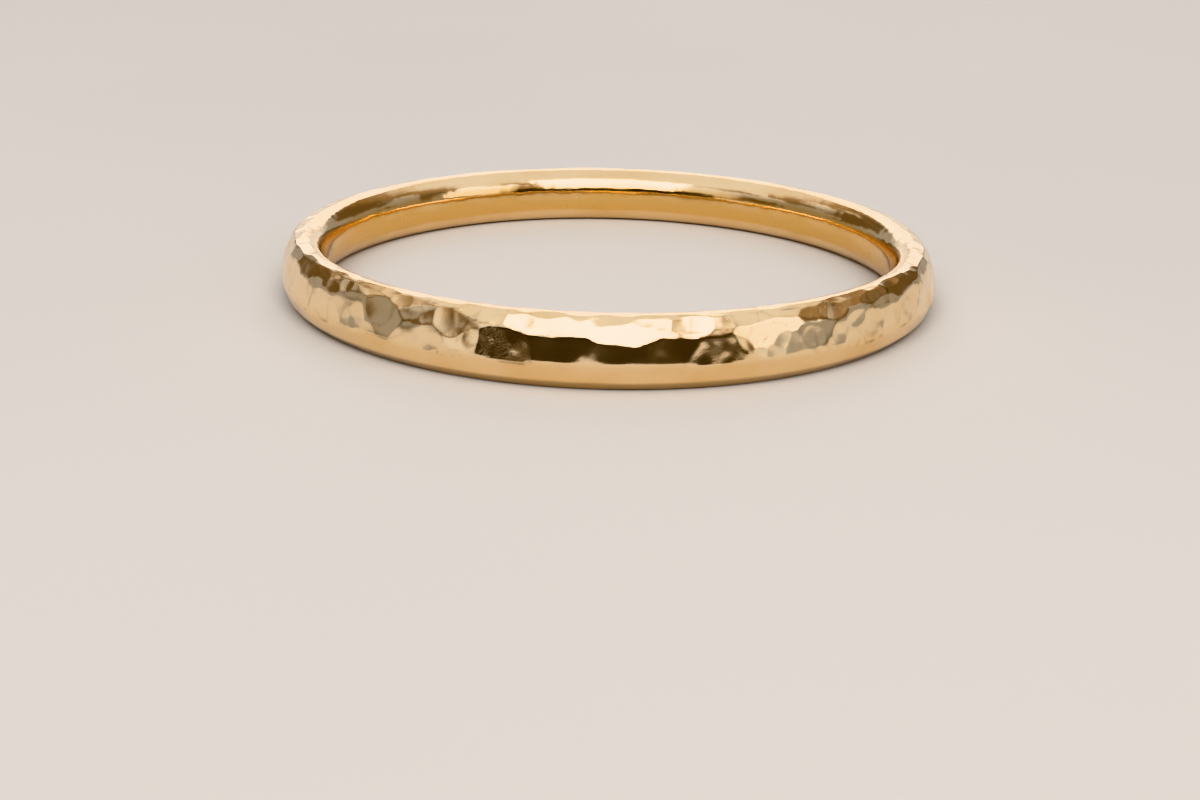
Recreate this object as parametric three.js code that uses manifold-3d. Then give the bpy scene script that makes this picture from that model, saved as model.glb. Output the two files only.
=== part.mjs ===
// A stackable ring: one plain hammered band of yellow gold, lying flat on its lower edge.
//
// Millimetres, +Z up. The origin is on the surface that the ring rests on, at the middle of the finger hole.
// The front of the band, where it is widest, faces -Y. Angles around the band are measured from the front,
// and grow towards +X.

import * as THREE from 'three';
import { mergeVertices } from 'three/addons/utils/BufferGeometryUtils.js';
import Module from 'manifold-3d';

// Driving dimensions of the band
const innerDiameter = 17.0;
const bandThickness = 1.38; // from the finger hole to the outer face
const bandWidth = 1.93; // along the finger, halfway between the front and the back
const widthTaper = 0.09; // the front is wider than bandWidth by this share, and the back narrower
const squareness = 2.6; // exponent of the rounded section: 2 is an ellipse, and more is squarer
const innerSquareness = 2.1; // the same for the half of the section that faces the finger
const landDepth = 0.04; // how much the lower edge is polished flat, so that the ring lies steadily

// How finely the band is faceted before the hammering
const stepsAround = 96;
const sectionSteps = 32;

// The flat slopes that the section was planished to. Columns: degrees that the slope leans back from upright,
// and mm that it is pressed in.
const slopes = [
  [12.5, 0.105],
  [29, 0.12],
  [-19, 0.045],
  [-50, 0.06],
];

// The hammer's face, nearly flat: one side of a wide many-sided roller
const hammerRadius = 8;
const hammerSides = 20;
const hammerWidth = 2.6;

// Colour and finish
const goldColour = 0xe3b878;
const goldRoughness = 0.2;

const degrees = Math.PI / 180;
const halfThickness = bandThickness / 2;
const halfWidth = bandWidth / 2;
const middleRadius = innerDiameter / 2 + halfThickness;
const middleHeight = halfWidth - landDepth;

// The blows on the front half, in rows. Columns: degrees around the band, degrees that the struck face leans
// back from upright, and mm that the blow bites.
const outerRow = [
  [-77, 9, 0.12],
  [-70, 14, 0.135],
  [-63, 9, 0.12],
  [-56, 8, 0.115],
  [-48, 13, 0.135],
  [-39.5, 16, 0.15],
  [-31, 8, 0.11],
  [-27, 21, 0.16],
  [-16.5, 11, 0.125],
  [-8, 20, 0.129],
  [3, 22, 0.148],
  [17.5, 10, 0.122],
  [26, 19, 0.15],
  [36, 14, 0.13],
  [46.5, 10, 0.13],
  [56, 9, 0.115],
  [63, 16, 0.145],
  [70, 8, 0.12],
  [78, 13, 0.13],
];
const shoulderRow = [
  [-80, 34, 0.14],
  [-73, 40, 0.125],
  [-65, 36, 0.14],
  [-58, 46, 0.105],
  [-51, 38, 0.135],
  [-44, 46, 0.1],
  [-35, 40, 0.125],
  [-21, 37, 0.118],
  [-12, 34, 0.13],
  [-2, 39, 0.108],
  [8, 35, 0.125],
  [16, 33, 0.13],
  [24, 38, 0.12],
  [31, 44, 0.105],
  [38, 36, 0.135],
  [45, 44, 0.105],
  [52, 40, 0.125],
  [60, 36, 0.14],
  [67, 46, 0.105],
  [75, 36, 0.14],
];
const topRow = [
  [-68, 64, 0.06],
  [-54, 70, 0.05],
  [-43, 62, 0.065],
  [-28, 66, 0.045],
  [-12, 70, 0.03],
  [6, 66, 0.035],
  [22, 70, 0.035],
  [33, 62, 0.055],
  [48, 68, 0.055],
  [62, 64, 0.06],
];

// The back half is struck at a steady pace by an unsteady hand: each value swings about its middle.
const backRows = [
  { from: 86, to: 275, pace: 8, lean: 16, leanSwing: 5, depth: 0.125, depthSwing: 0.013 },
  { from: 83, to: 272, pace: 8.4, lean: 39, leanSwing: 6, depth: 0.125, depthSwing: 0.015 },
  { from: 75, to: 281, pace: 11, lean: 74, leanSwing: 6, depth: 0.055, depthSwing: 0.015 },
];
const aroundSwing = 1.4;

function backStrikes(row) {
  const strikes = [];
  const count = Math.round((row.to - row.from) / row.pace);
  for (let k = 0; k <= count; k += 1) {
    const around = row.from + ((row.to - row.from) * k) / count + aroundSwing * Math.sin(5.3 * k);
    const lean = row.lean + row.leanSwing * Math.sin(2.4 * k);
    const depth = row.depth + row.depthSwing * Math.sin(3.9 * k);
    strikes.push([around, lean, depth]);
  }
  return strikes;
}

// The width of the band at a place, as a share of its middle width
function widthShare(y) {
  return 1 - (widthTaper * y) / middleRadius;
}

// How far the section reaches from its middle in a direction that leans back from level by lean
function sectionReach(lean, share) {
  const power = squareness / (squareness - 1);
  const out = (halfThickness * Math.cos(lean)) ** power;
  const up = (halfWidth * share * Math.abs(Math.sin(lean))) ** power;
  return (out + up) ** (1 / power);
}

// One corner of the rounded section, pressed back to its slopes, with its lower edge polished flat
function sectionPoint(angle) {
  const power = Math.cos(angle) < 0 ? innerSquareness : squareness;
  const reach = (Math.abs(Math.cos(angle)) ** power + Math.abs(Math.sin(angle)) ** power) ** (-1 / power);
  let out = halfThickness * reach * Math.cos(angle);
  let up = halfWidth * reach * Math.sin(angle);
  for (const [leanDegrees, depth] of slopes) {
    const lean = leanDegrees * degrees;
    const face = sectionReach(lean, 1) - depth;
    const over = Math.max(0, out * Math.cos(lean) + up * Math.sin(lean) - face);
    out -= over * Math.cos(lean);
    up -= over * Math.sin(lean);
  }
  return new THREE.Vector2(middleRadius + out, Math.max(0, middleHeight + up));
}

function smoothBand() {
  const profile = [];
  for (let k = 0; k < sectionSteps; k += 1) {
    profile.push(sectionPoint(((k + 0.5) * 2 * Math.PI) / sectionSteps));
  }
  profile.push(profile[0].clone());
  const band = new THREE.LatheGeometry(profile, stepsAround);
  band.rotateX(Math.PI / 2);
  const corner = band.getAttribute('position');
  for (let k = 0; k < corner.count; k += 1) {
    corner.setZ(k, corner.getZ(k) * widthShare(corner.getY(k)));
  }
  return band;
}

// The hammer where it stops in one blow, as a solid to take away from the band
function hammer([aroundDegrees, leanDegrees, depth]) {
  const around = aroundDegrees * degrees;
  const lean = leanDegrees * degrees;
  const outwards = new THREE.Vector3(Math.sin(around), -Math.cos(around), 0);
  const share = 1 + widthTaper * Math.cos(around);
  const middle = outwards.clone().multiplyScalar(middleRadius).setZ(middleHeight * share);
  const facing = outwards.clone().multiplyScalar(Math.cos(lean)).setZ(Math.sin(lean));
  const along = new THREE.Vector3(Math.cos(around), Math.sin(around), 0);
  const across = new THREE.Vector3().crossVectors(facing, along);

  const halfSide = Math.PI / hammerSides;
  const tool = new THREE.CylinderGeometry(
    hammerRadius, hammerRadius, hammerWidth, hammerSides, 1, false, -halfSide);
  const away = sectionReach(lean, share) - depth + hammerRadius * Math.cos(halfSide);
  const inwards = facing.clone().negate();
  const sideways = new THREE.Vector3().crossVectors(across, inwards);
  const place = new THREE.Matrix4().makeBasis(sideways, across, inwards);
  place.setPosition(middle.addScaledVector(facing, away));
  return tool.applyMatrix4(place);
}

function asSolid(wasm, geometry) {
  const bare = geometry.clone();
  bare.deleteAttribute('normal');
  bare.deleteAttribute('uv');
  const merged = mergeVertices(bare);
  return new wasm.Manifold(new wasm.Mesh({
    numProp: 3,
    vertProperties: new Float32Array(merged.getAttribute('position').array),
    triVerts: new Uint32Array(merged.getIndex().array),
  }));
}

function asGeometry(solid) {
  const mesh = solid.getMesh();
  const geometry = new THREE.BufferGeometry();
  geometry.setAttribute('position', new THREE.BufferAttribute(mesh.vertProperties, mesh.numProp));
  geometry.setIndex(new THREE.BufferAttribute(mesh.triVerts, 1));
  geometry.computeVertexNormals();
  return geometry;
}

const wasm = await Module();
wasm.setup();

const strikes = [outerRow, shoulderRow, topRow, ...backRows.map(backStrikes)].flat();
let hammered = asSolid(wasm, smoothBand());
for (const strike of strikes) {
  hammered = hammered.subtract(asSolid(wasm, hammer(strike)));
}

const gold = new THREE.MeshStandardMaterial({
  color: goldColour,
  metalness: 1,
  roughness: goldRoughness,
});
const band = new THREE.Mesh(asGeometry(hammered), gold);
band.name = 'hammered_band';

const ring = new THREE.Group();
ring.add(band);

export default ring;
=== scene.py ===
"""Looks for a stackable ring: one hammered band of yellow gold, lying on its lower edge on a pale floor.

Sizes of the ring are in millimetres, as in the CAD, and become metres when its mesh is made. Angles around
the band are degrees from the front (-Y), growing towards +X.
"""

import math

import bpy
import numpy as np
from mathutils import Matrix, Vector


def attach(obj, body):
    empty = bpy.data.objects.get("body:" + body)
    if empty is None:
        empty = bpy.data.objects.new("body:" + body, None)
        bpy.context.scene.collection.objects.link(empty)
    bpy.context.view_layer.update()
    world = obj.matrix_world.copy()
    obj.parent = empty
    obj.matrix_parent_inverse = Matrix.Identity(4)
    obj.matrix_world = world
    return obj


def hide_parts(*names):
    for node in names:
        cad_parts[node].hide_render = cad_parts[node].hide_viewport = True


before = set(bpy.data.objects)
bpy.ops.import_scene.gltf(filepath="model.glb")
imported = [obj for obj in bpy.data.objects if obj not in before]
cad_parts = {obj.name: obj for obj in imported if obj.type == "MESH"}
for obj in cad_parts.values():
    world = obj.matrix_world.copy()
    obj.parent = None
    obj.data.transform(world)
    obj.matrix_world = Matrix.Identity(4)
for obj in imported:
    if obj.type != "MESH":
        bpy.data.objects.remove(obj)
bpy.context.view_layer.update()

MM = 0.001  # metres in a millimetre

# The band, as in the CAD
INNER_DIAMETER = 17.0
BAND_THICKNESS = 1.38
BAND_WIDTH = 1.93
WIDTH_TAPER = 0.09
SQUARENESS = 2.6
INNER_SQUARENESS = 2.1
LAND_DEPTH = 0.04
HALF_THICKNESS = BAND_THICKNESS / 2
HALF_WIDTH = BAND_WIDTH / 2
MIDDLE_RADIUS = INNER_DIAMETER / 2 + HALF_THICKNESS
MIDDLE_HEIGHT = HALF_WIDTH - LAND_DEPTH

# The planished slopes of the section, as in the CAD. Columns: degrees that the slope leans back from upright,
# and mm that it is pressed in.
SLOPES = [(12.5, 0.105), (29, 0.12), (-19, 0.045), (-50, 0.06)]

# The blows, as in the CAD. Columns: degrees around the band, degrees that the struck face leans back from
# upright, and mm that the blow bites.
OUTER_BLOWS = [
    (-77, 9, 0.12),
    (-70, 14, 0.135),
    (-63, 9, 0.12),
    (-56, 8, 0.115),
    (-48, 13, 0.135),
    (-39.5, 16, 0.15),
    (-31, 8, 0.11),
    (-27, 21, 0.16),
    (-16.5, 11, 0.125),
    (-8, 20, 0.129),
    (3, 22, 0.148),
    (17.5, 10, 0.122),
    (26, 19, 0.15),
    (36, 14, 0.13),
    (46.5, 10, 0.13),
    (56, 9, 0.115),
    (63, 16, 0.145),
    (70, 8, 0.12),
    (78, 13, 0.13),
]
SHOULDER_BLOWS = [
    (-80, 34, 0.14),
    (-73, 40, 0.125),
    (-65, 36, 0.14),
    (-58, 46, 0.105),
    (-51, 38, 0.135),
    (-44, 46, 0.1),
    (-35, 40, 0.125),
    (-21, 37, 0.118),
    (-12, 34, 0.13),
    (-2, 39, 0.108),
    (8, 35, 0.125),
    (16, 33, 0.13),
    (24, 38, 0.12),
    (31, 44, 0.105),
    (38, 36, 0.135),
    (45, 44, 0.105),
    (52, 40, 0.125),
    (60, 36, 0.14),
    (67, 46, 0.105),
    (75, 36, 0.14),
]
TOP_BLOWS = [
    (-68, 64, 0.06),
    (-54, 70, 0.05),
    (-43, 62, 0.065),
    (-28, 66, 0.045),
    (-12, 70, 0.03),
    (6, 66, 0.035),
    (22, 70, 0.035),
    (33, 62, 0.055),
    (48, 68, 0.055),
    (62, 64, 0.06),
]
# The back half, as in the CAD: each value swings about its middle.
BACK_ROWS = [
    {"from": 86, "to": 275, "pace": 8, "lean": 16, "lean_swing": 5, "depth": 0.125, "depth_swing": 0.013},
    {"from": 83, "to": 272, "pace": 8.4, "lean": 39, "lean_swing": 6, "depth": 0.125, "depth_swing": 0.015},
    {"from": 75, "to": 281, "pace": 11, "lean": 74, "lean_swing": 6, "depth": 0.055, "depth_swing": 0.015},
]
AROUND_SWING = 1.4
HAMMER_RADIUS = 8.0  # of the hammer's face beyond its flat middle
HAMMER_FLAT = 1.25  # half the length of that flat middle
HAMMER_REACH = 5.0  # mm around the band, to each side, that one blow can touch
HAMMER_RIM = 0.007  # mm of height over which the rim of a blow fades

# The light blows of a small round-faced hammer, which the CAD's larger ones stand in for
LIGHT_BLOWS = 430
LIGHT_SEED = 12
LIGHT_BITE = (0.005, 0.019)  # mm, least and most
LIGHT_RADIUS = 3.6  # of the small hammer's face
LIGHT_RIM = 0.003  # mm of height over which the rim of a light blow fades
LIGHT_EDGE = 0.35  # how strongly the rims of the light blows show, beside those of the large ones
LIGHT_LOWEST, LIGHT_TOP = 14, 44  # section steps between which they land, counted from low on the outside
CALM_FRONT = 22  # degrees each side of the front where they land on the shoulder only
CALM_LOWEST = 32  # the lowest section step that they land on there
SLOPE_ROWS, SLOPE_COLUMNS = 12, 2  # mesh steps to each side, from which the slope under a light blow is taken
PATCH_ROWS, PATCH_COLUMNS = 24, 10  # mesh steps to each side that a light blow can touch

# What polishing did to the form, below the CAD's resolution
RIDGE_SOFTNESS = 0.003  # how far the ridges between blows are rounded
SLOPE_SOFTNESS = 0.008  # how far the edges of the slopes are rounded
WAVE_LEAN = 30  # degrees above level where the waves in the outer face are highest

# Those slow waves. Columns: mm high, turns around the band, turns around the section, and phase.
WAVES = [
    (0.009, 17, 1, 0.3),
    (0.007, 29, 2, 1.9),
    (0.005, 43, -2, 4.1),
    (0.003, 61, 3, 2.6),
]

# The mesh: steps around the band, and section steps as (from degrees, to degrees, steps)
STEPS_AROUND = 1480
SECTION_STEPS = [(-65, 100, 46), (100, 165, 13), (165, 295, 7)]

# The camera and the view it has of the ring
CAMERA_DISTANCE = 0.070
CAMERA_ELEVATION = 15.39
CAMERA_ROLL = 1.305
CAMERA_LENS = 68.95
SENSOR = 36.0
AIM_RIGHT = -0.14  # degrees that the camera is turned to the right of the ring's middle
AIM_DOWN = 3.43  # degrees that it is turned down from the ring's middle
CAMERA_CLIP = (0.001, 10)  # metres

# Colours, linear
GOLD = (1.0, 0.765, 0.49)
# DEEP_GOLD is also mixed in as painted reflection in the finger hole and low on the outside
DEEP_GOLD = (0.84, 0.53, 0.20)
SHADED_GOLD = (0.45, 0.27, 0.09)
# painted dark reflection along the rims of the blows
PAINTED_DARK_RIM_REFLECTION = (0.16, 0.09, 0.03)
PALE_FLOOR = (0.505, 0.478, 0.455)
PALER_FLOOR = (0.53, 0.503, 0.48)
ROOM_WARM = (1.0, 0.70, 0.43)
ROOM_PALE = (1.0, 0.985, 0.97)
LAMP_WHITE = (1.0, 0.99, 0.98)

# Relief of the gold that is too fine for the mesh, in millimetres
MARK_DEPTH = 0.0004
PIT_DEPTH = 0.002
RIM_HEIGHT = 0.0012
GRAIN_HEIGHT = 0.0009
SWELL_HEIGHT = 0.019
BRUSHED_HEIGHT = 0.0015

# The room that the gold reflects. A pair says where a change in it starts and where it is complete, as a part
# of the unit vector that points there.
ROOM_SCALE = 2.6  # of its soft warm stretches
OVERHEAD = (0.55, 0.8)  # in z: they fade out towards the ceiling
HORIZON = (0.21, 0.12)  # in z: and towards the horizon
NEAR_FRONT = (-0.66, -0.74)  # in y: the dark stretch begins towards the camera
NEAR_TOP = (0.335, 0.305)  # in z: and ends at this height
BESIDE_START = (0.2, 0.45)  # in x, to either side: the darker sides begin
BESIDE_TOP = (0.65, 0.35)  # in z: and end at this height
BESIDE_FRONT = (-0.65, -0.35)  # in y: and stay behind the dark stretch
ROOM_LEVELS = (0.35, 0.85)  # brightness where the room is warm, and where it is pale
BESIDE_LEVEL = 0.45  # share of the brightness that is left at the sides
NEAR_LEVEL = 0.05  # and in the dark stretch

# The soft lights. Columns: name, degrees around from the front, degrees up, metres away, size in metres, and
# how bright it looks.
SOFTBOXES = [
    ("front_softbox", 0, 40, 0.5, (0.5, 0.35), 5.4),
    ("rear_softbox", 180, 28, 0.5, (0.34, 0.30), 2.2),
    ("right_softbox", 62, 24, 0.5, (0.22, 0.22), 1.8),
]
FLOOR_HALF = 1.5  # metres from the middle of the floor to its edge


# Mesh


def back_strikes(row):
    """The blows of one back row. Their number is rounded with halves going up, as in the CAD."""
    strikes = []
    count = math.floor((row["to"] - row["from"]) / row["pace"] + 0.5)
    for k in range(count + 1):
        around = row["from"] + (row["to"] - row["from"]) * k / count + AROUND_SWING * math.sin(5.3 * k)
        lean = row["lean"] + row["lean_swing"] * math.sin(2.4 * k)
        depth = row["depth"] + row["depth_swing"] * math.sin(3.9 * k)
        strikes.append((around, lean, depth))
    return strikes


def section_reach(lean, share):
    """How far the section reaches from its middle in a direction that leans back from level by lean."""
    power = SQUARENESS / (SQUARENESS - 1)
    out = (HALF_THICKNESS * math.cos(lean)) ** power
    up = (HALF_WIDTH * share * abs(math.sin(lean))) ** power
    return (out + up) ** (1 / power)


def pressed_back(over, softness):
    """How far a point that stands over a flat face is pressed back, with a rounded start."""
    return (over + np.sqrt(over**2 + softness**2)) / 2


def smooth_section():
    """The section's angles, and how far its points stand out from its middle and up over it."""
    pieces = [np.linspace(a, b, n, endpoint=False) for a, b, n in SECTION_STEPS]
    angle = np.radians(np.concatenate(pieces))[None, :]
    power = np.where(np.cos(angle) < 0, INNER_SQUARENESS, SQUARENESS)
    reach = (np.abs(np.cos(angle)) ** power + np.abs(np.sin(angle)) ** power) ** (-1 / power)
    out = HALF_THICKNESS * reach * np.cos(angle)
    up = HALF_WIDTH * reach * np.sin(angle)
    for lean_degrees, depth in SLOPES:
        lean = math.radians(lean_degrees)
        over = out * math.cos(lean) + up * math.sin(lean) - (section_reach(lean, 1) - depth)
        pressed = pressed_back(over, SLOPE_SOFTNESS)
        out = out - pressed * math.cos(lean)
        up = up - pressed * math.sin(lean)
    return angle, out, up


def smooth_band():
    """The band before the hammering, as an array of points: around the band, then around its section."""
    around = np.linspace(0, 2 * np.pi, STEPS_AROUND, endpoint=False)[:, None]
    angle, out, up = smooth_section()
    outer = np.clip(np.cos(angle - math.radians(WAVE_LEAN)), 0, 1)
    wave = sum(h * np.sin(n * around + m * angle + phase) for h, n, m, phase in WAVES) * outer
    radius = MIDDLE_RADIUS + out + wave
    height = np.maximum(0, MIDDLE_HEIGHT + up)
    x = radius * np.sin(around)
    y = -radius * np.cos(around)
    z = height * (1 - WIDTH_TAPER * y / MIDDLE_RADIUS)
    return np.stack([x, y, z], axis=-1)


def strike(points, marks, number, around_degrees, lean_degrees, depth):
    """Presses the points that one blow reaches back to the hammer's face, and marks them."""
    around, lean = math.radians(around_degrees), math.radians(lean_degrees)
    outwards = np.array([math.sin(around), -math.cos(around), 0.0])
    along = np.array([math.cos(around), math.sin(around), 0.0])
    share = 1 + WIDTH_TAPER * math.cos(around)
    middle = outwards * MIDDLE_RADIUS
    middle[2] = MIDDLE_HEIGHT * share
    facing = outwards * math.cos(lean)
    facing[2] = math.sin(lean)
    offset = points - middle
    beside = np.abs(offset @ along)
    rounding = np.maximum(beside - HAMMER_FLAT, 0) ** 2 / (2 * HAMMER_RADIUS)
    face = section_reach(lean, share) - depth + rounding
    over = np.where(beside < HAMMER_REACH, offset @ facing - face, -1)
    points -= pressed_back(over, RIDGE_SOFTNESS)[..., None] * facing
    hit = over > 0
    marks["struck"][hit] = 1
    marks["blow"][hit] = number
    edge = np.exp(-((over / HAMMER_RIM) ** 2))
    marks["edge"] = np.where(hit, edge, np.maximum(marks["edge"], edge))


def light_strike(points, marks, number, row, column, bite):
    """Presses a small dish into the surface around one point of the mesh."""
    beside = points[(row + SLOPE_ROWS) % STEPS_AROUND, column] - points[row - SLOPE_ROWS, column]
    across = points[row, column + SLOPE_COLUMNS] - points[row, column - SLOPE_COLUMNS]
    facing = np.cross(beside, across)
    facing /= np.linalg.norm(facing)
    rows = np.arange(row - PATCH_ROWS, row + PATCH_ROWS + 1)[:, None] % STEPS_AROUND
    columns = np.arange(max(column - PATCH_COLUMNS, 0), column + PATCH_COLUMNS + 1)[None, :]
    patch = points[rows, columns]
    offset = patch - points[row, column]
    height = offset @ facing
    beside_squared = (offset**2).sum(axis=-1) - height**2
    over = height + bite - beside_squared / (2 * LIGHT_RADIUS)
    points[rows, columns] = patch - pressed_back(over, RIDGE_SOFTNESS)[..., None] * facing
    hit = over > 0
    for name, value in (("struck", 1), ("blow", number)):
        marks[name][rows, columns] = np.where(hit, value, marks[name][rows, columns])
    edge = LIGHT_EDGE * np.exp(-((over / LIGHT_RIM) ** 2))
    marks["edge"][rows, columns] = np.where(hit, edge, np.maximum(marks["edge"][rows, columns], edge))


def light_strikes(points, marks, first_number):
    """Scatters the light blows over the outside and the shoulder, the same way in each run."""
    random = np.random.default_rng(LIGHT_SEED)
    for number in range(LIGHT_BLOWS):
        row = int(random.integers(STEPS_AROUND))
        around = (row * 360 / STEPS_AROUND + 180) % 360 - 180
        lowest = CALM_LOWEST if abs(around) < CALM_FRONT else LIGHT_LOWEST
        column = int(random.integers(lowest, LIGHT_TOP))
        light_strike(points, marks, first_number + number, row, column, random.uniform(*LIGHT_BITE))


def make_band():
    points = smooth_band()
    strikes = OUTER_BLOWS + SHOULDER_BLOWS + TOP_BLOWS
    for row in BACK_ROWS:
        strikes = strikes + back_strikes(row)
    marks = {name: np.zeros(points.shape[:2]) for name in ("struck", "blow", "edge")}
    for number, (around, lean, depth) in enumerate(strikes):
        strike(points, marks, number, around, lean, depth)
    light_strikes(points, marks, len(strikes))
    points[..., 2] = np.maximum(points[..., 2], 0)

    n_around, n_section = points.shape[:2]
    index = np.arange(n_around * n_section).reshape(n_around, n_section)
    ahead = np.roll(index, -1, axis=0)
    corners = [index, ahead, np.roll(ahead, -1, axis=1), np.roll(index, -1, axis=1)]
    quads = np.stack(corners, axis=-1)
    mesh = bpy.data.meshes.new("hammered_gold_band")
    mesh.from_pydata((points.reshape(-1, 3) * MM).tolist(), [], quads.reshape(-1, 4).tolist())
    mesh.shade_smooth()
    for name, values in marks.items():
        layer = mesh.attributes.new(name, "FLOAT", "POINT")
        layer.data.foreach_set("value", values.reshape(-1).astype(np.float32))
    band = bpy.data.objects.new("hammered_gold_band", mesh)
    bpy.context.scene.collection.objects.link(band)
    return band


# Materials


class Nodes:
    """Adds nodes to a tree, links their inputs and returns their first outputs."""

    def __init__(self, tree):
        self.tree = tree

    def add(self, kind, inputs=None, **settings):
        node = self.tree.nodes.new(kind)
        for name, value in settings.items():
            setattr(node, name, value)
        for name, value in (inputs or {}).items():
            socket = node.inputs[name]
            if isinstance(value, bpy.types.NodeSocket):
                self.tree.links.new(value, socket)
            else:
                socket.default_value = value
        return node

    def math(self, operation, a, b=0.0, c=0.0):
        return self.add("ShaderNodeMath", {0: a, 1: b, 2: c}, operation=operation).outputs[0]

    def ramp(self, value, low, high, to_low=0.0, to_high=1.0):
        inputs = {"Value": value, 1: low, 2: high, 3: to_low, 4: to_high}
        return self.add("ShaderNodeMapRange", inputs, interpolation_type="SMOOTHSTEP").outputs[0]

    def mix(self, share, a, b):
        inputs = {"Factor": share, 6: a, 7: b}
        return self.add("ShaderNodeMix", inputs, data_type="RGBA").outputs[2]

    def noise(self, place, scale, detail=2.0, distortion=0.0):
        inputs = {"Vector": place, "Scale": scale, "Detail": detail, "Distortion": distortion}
        return self.add("ShaderNodeTexNoise", inputs).outputs[0]


def opaque(colour):
    return (*colour, 1.0)


def new_material(name):
    material = bpy.data.materials.new(name)
    material.use_nodes = True
    material.node_tree.nodes.clear()
    return material, Nodes(material.node_tree)


def hammer_marks(nodes, in_mm):
    """Worm-like marks of the hammer's face: thin bands of a twisted noise, seen only where a blow landed."""
    struck = nodes.add("ShaderNodeAttribute", attribute_name="struck").outputs["Fac"]
    blow = nodes.add("ShaderNodeAttribute", attribute_name="blow").outputs["Fac"]
    shift = nodes.add("ShaderNodeCombineXYZ", {0: nodes.math("MULTIPLY", blow, 0.7), 1: blow, 2: blow})
    shifted = nodes.add("ShaderNodeVectorMath", {0: in_mm, 1: shift.outputs[0]}, operation="ADD").outputs[0]
    worms = nodes.noise(shifted, 3.2, 1.0, 1.6)
    bands = nodes.math("ABSOLUTE", nodes.math("SINE", nodes.math("MULTIPLY", worms, 34.0)))
    worm_lines = nodes.ramp(bands, 0.22, 0.0)
    patches = nodes.ramp(nodes.noise(shifted, 0.9, 2.0), 0.42, 0.62)
    return nodes.math("MULTIPLY", nodes.math("MULTIPLY", worm_lines, patches), struck)


def gold_bump(nodes, in_mm, marks, pits, edge, satin):
    """The fine relief: hammer marks, pits, rims of the blows, grain, a slow swell, brushing in the hole."""
    stretched = nodes.add("ShaderNodeMapping", {"Vector": in_mm, "Scale": (1.0, 1.0, 14.0)}).outputs[0]
    brushed = nodes.math("MULTIPLY", nodes.noise(stretched, 2.5, 3.0), satin)
    height = nodes.math("MULTIPLY", marks, -MARK_DEPTH)
    for layer, amount in (
        (pits, -PIT_DEPTH),
        (edge, RIM_HEIGHT),
        (nodes.noise(in_mm, 22.0, 3.0), GRAIN_HEIGHT),
        (nodes.noise(in_mm, 1.7, 1.0), SWELL_HEIGHT),
        (brushed, BRUSHED_HEIGHT),
    ):
        height = nodes.math("MULTIPLY_ADD", layer, amount, height)
    return nodes.add("ShaderNodeBump", {"Height": height, "Distance": MM, "Strength": 1.0}).outputs[0]


def gold_roughness(nodes, in_mm, marks, satin):
    roughness = nodes.ramp(nodes.noise(in_mm, 0.8, 3.0), 0.3, 0.7, 0.08, 0.13)
    roughness = nodes.math("MULTIPLY_ADD", marks, 0.12, roughness)
    return nodes.math("MULTIPLY_ADD", satin, 0.15, roughness)


def gold_colour(nodes, in_mm, z, radius, inside, pits, edge):
    """Pale gold, deeper in pits, deeper in the hole and low down as partly painted reflection, with painted
    dark reflection lines along some rims and painted shade at the foot.
    """
    tone = nodes.ramp(nodes.noise(in_mm, 0.55, 4.0), 0.35, 0.75, 0.0, 0.35)
    # Painted reflection: the gold in the hole is deepened, standing partly for the gold reflecting itself
    # there
    tone = nodes.math("MULTIPLY_ADD", inside, 0.75, tone)
    # Painted reflection: the gold deepens towards the bottom of the outside, standing partly for what lies
    # below being reflected
    tone = nodes.math("MULTIPLY_ADD", nodes.ramp(z, 1.0, 0.6), 0.35, tone)
    tone = nodes.math("MULTIPLY_ADD", pits, 0.5, tone)
    colour = nodes.mix(tone, opaque(GOLD), opaque(DEEP_GOLD))
    # Painted reflection: dark brown lines along some rims of the blows stand for the dark room reflected in
    # their rounded edges
    painted_rim_reflection = nodes.math("MULTIPLY", edge, nodes.ramp(nodes.noise(in_mm, 1.1, 2.0), 0.42, 0.6))
    colour = nodes.mix(nodes.math("MULTIPLY", painted_rim_reflection, 0.6), colour, opaque(PAINTED_DARK_RIM_REFLECTION))
    low_down = nodes.math("MULTIPLY", nodes.ramp(z, 0.33, 0.2), nodes.ramp(radius, 8.8, 9.1))
    return nodes.mix(nodes.math("MULTIPLY", low_down, 0.7), colour, opaque(SHADED_GOLD))


def gold_material():
    """Polished yellow gold outside, with the hammer's grain in the blows, and satin in the finger hole."""
    material, nodes = new_material("yellow_gold")
    place = nodes.add("ShaderNodeTexCoord").outputs["Object"]
    in_mm = nodes.add("ShaderNodeVectorMath", {0: place, "Scale": 1 / MM}, operation="SCALE").outputs[0]
    x, y, z = nodes.add("ShaderNodeSeparateXYZ", {0: in_mm}).outputs
    squares = nodes.math("ADD", nodes.math("POWER", x, 2.0), nodes.math("POWER", y, 2.0))
    radius = nodes.math("SQRT", squares)
    inside = nodes.ramp(radius, INNER_DIAMETER / 2 + 0.12, INNER_DIAMETER / 2 + 0.04)
    satin = nodes.math("MULTIPLY", inside, nodes.ramp(z, 1.05, 0.85))
    edge = nodes.add("ShaderNodeAttribute", attribute_name="edge").outputs["Fac"]
    cells = {"Vector": in_mm, "Scale": 2.6, "Randomness": 1.0}
    pits = nodes.ramp(nodes.add("ShaderNodeTexVoronoi", cells, feature="F1").outputs[0], 0.05, 0.0)
    marks = hammer_marks(nodes, in_mm)
    shader = nodes.add("ShaderNodeBsdfPrincipled", {
        "Base Color": gold_colour(nodes, in_mm, z, radius, inside, pits, edge),
        "Metallic": 1.0,
        "Roughness": gold_roughness(nodes, in_mm, marks, satin),
        "Normal": gold_bump(nodes, in_mm, marks, pits, edge, satin),
    })
    nodes.add("ShaderNodeOutputMaterial", {"Surface": shader.outputs[0]})
    return material


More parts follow.
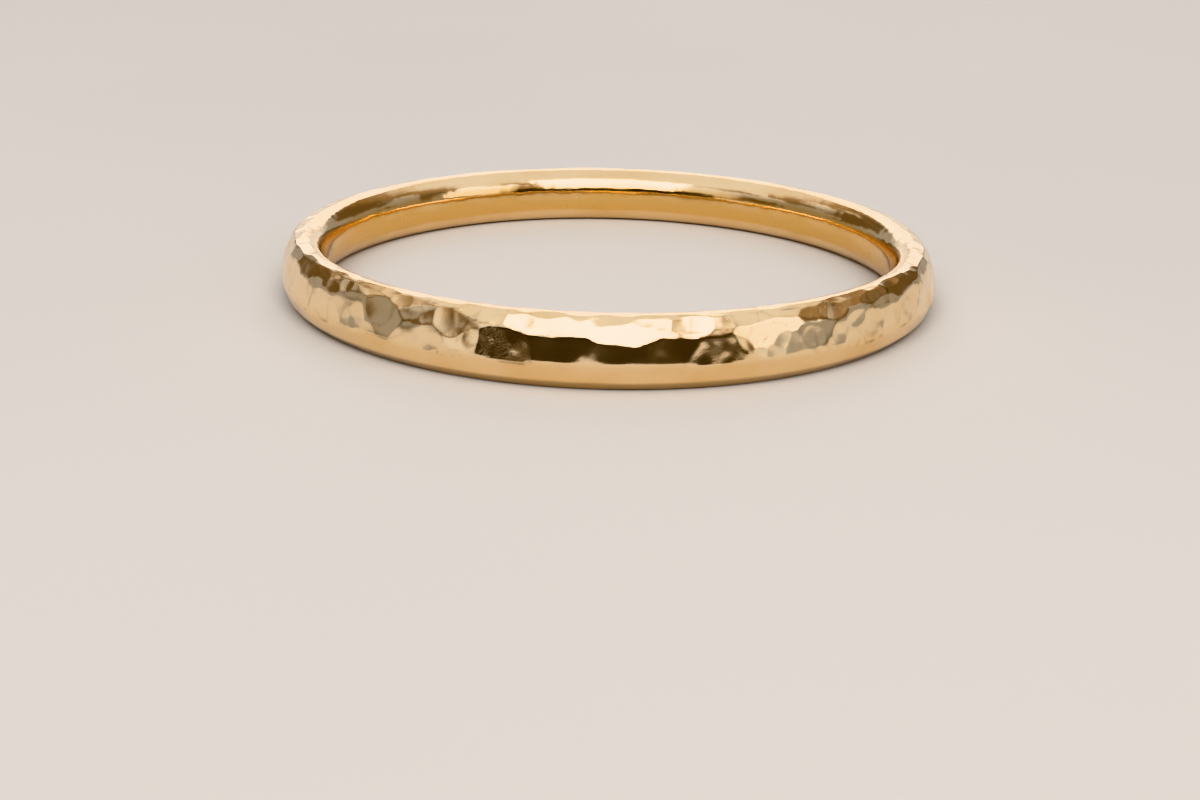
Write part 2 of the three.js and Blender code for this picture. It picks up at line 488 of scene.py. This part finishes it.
def floor_material():
    material, nodes = new_material("pale_floor")
    place = nodes.add("ShaderNodeTexCoord").outputs["Object"]
    cloud = nodes.ramp(nodes.noise(place, 14.0, 3.0), 0.3, 0.7)
    shader = nodes.add("ShaderNodeBsdfPrincipled", {
        "Base Color": nodes.mix(cloud, opaque(PALE_FLOOR), opaque(PALER_FLOOR)),
        "Roughness": 0.9,
        "Specular IOR Level": 0.1,
    })
    nodes.add("ShaderNodeOutputMaterial", {"Surface": shader.outputs[0]})
    return material


# Studio


def make_floor():
    corners = [(FLOOR_HALF * x, FLOOR_HALF * y, 0) for x, y in ((-1, -1), (1, -1), (1, 1), (-1, 1))]
    mesh = bpy.data.meshes.new("floor")
    mesh.from_pydata(corners, [], [(0, 1, 2, 3)])
    floor = bpy.data.objects.new("floor", mesh)
    mesh.materials.append(floor_material())
    bpy.context.scene.collection.objects.link(floor)


def make_world():
    """A pale room with soft warm stretches, darker sides, and a dark stretch low down towards the camera."""
    world = bpy.data.worlds.new("studio")
    bpy.context.scene.world = world
    world.use_nodes = True
    world.node_tree.nodes.clear()
    nodes = Nodes(world.node_tree)
    direction = nodes.add("ShaderNodeTexCoord").outputs["Generated"]
    x, y, z = nodes.add("ShaderNodeSeparateXYZ", {0: direction}).outputs

    room = nodes.ramp(nodes.noise(direction, ROOM_SCALE, 1.0), 0.42, 0.58)
    room = nodes.math("MAXIMUM", room, nodes.ramp(z, *OVERHEAD))
    room = nodes.math("MAXIMUM", room, nodes.ramp(z, *HORIZON))
    near = nodes.math("MULTIPLY", nodes.ramp(y, *NEAR_FRONT), nodes.ramp(z, *NEAR_TOP))
    aside = nodes.ramp(nodes.math("ABSOLUTE", x), *BESIDE_START)
    beside = nodes.math("MULTIPLY", aside, nodes.ramp(z, *BESIDE_TOP))
    beside = nodes.math("MULTIPLY", beside, nodes.ramp(y, *BESIDE_FRONT))
    lit = nodes.math("SUBTRACT", 1.0, near)

    level = nodes.ramp(room, 0.0, 1.0, *ROOM_LEVELS)
    level = nodes.math("MULTIPLY", level, nodes.ramp(beside, 0.0, 1.0, 1.0, BESIDE_LEVEL))
    level = nodes.math("MULTIPLY", level, nodes.ramp(lit, 0.0, 1.0, NEAR_LEVEL, 1.0))
    colour = nodes.mix(nodes.math("MULTIPLY", room, lit), opaque(ROOM_WARM), opaque(ROOM_PALE))
    background = nodes.add("ShaderNodeBackground", {"Color": colour, "Strength": level})
    nodes.add("ShaderNodeOutputWorld", {"Surface": background.outputs[0]})


def softbox(name, azimuth, elevation, distance, size, radiance):
    """An area light that faces the ring. Its power is worked out from how bright it should look."""
    a, e = math.radians(azimuth), math.radians(elevation)
    place = distance * Vector((math.sin(a) * math.cos(e), -math.cos(a) * math.cos(e), math.sin(e)))
    light = bpy.data.lights.new(name, "AREA")
    light.shape = "RECTANGLE"
    light.size, light.size_y = size
    light.color = LAMP_WHITE
    light.energy = radiance * math.pi * size[0] * size[1]
    lamp = bpy.data.objects.new(name, light)
    lamp.location = place
    lamp.rotation_euler = (-place).to_track_quat("-Z", "Y").to_euler()
    bpy.context.scene.collection.objects.link(lamp)


def make_camera():
    elevation = math.radians(CAMERA_ELEVATION)
    ring_middle = Vector((0, 0, MIDDLE_HEIGHT * MM))
    place = ring_middle + CAMERA_DISTANCE * Vector((0, -math.cos(elevation), math.sin(elevation)))
    down = elevation + math.radians(AIM_DOWN)
    turn = math.radians(AIM_RIGHT)
    forward = Vector((math.sin(turn) * math.cos(down), math.cos(turn) * math.cos(down), -math.sin(down)))
    right = forward.cross(Vector((0, 0, 1))).normalized()
    up = right.cross(forward)
    roll = math.radians(CAMERA_ROLL)
    rolled_right = right * math.cos(roll) + up * math.sin(roll)
    rolled_up = -right * math.sin(roll) + up * math.cos(roll)
    data = bpy.data.cameras.new("camera")
    data.sensor_width = SENSOR
    data.lens = CAMERA_LENS
    data.clip_start, data.clip_end = CAMERA_CLIP
    camera = bpy.data.objects.new("camera", data)
    camera.matrix_world = Matrix.Translation(place) @ Matrix(
        (rolled_right, rolled_up, -forward)).transposed().to_4x4()
    bpy.context.scene.collection.objects.link(camera)
    bpy.context.scene.camera = camera


band = make_band()
band.data.materials.append(gold_material())
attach(band, "root")
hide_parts("hammered_band")

make_floor()
make_world()
for columns in SOFTBOXES:
    softbox(*columns)
make_camera()
bpy.context.scene.view_settings.view_transform = "Khronos PBR Neutral"
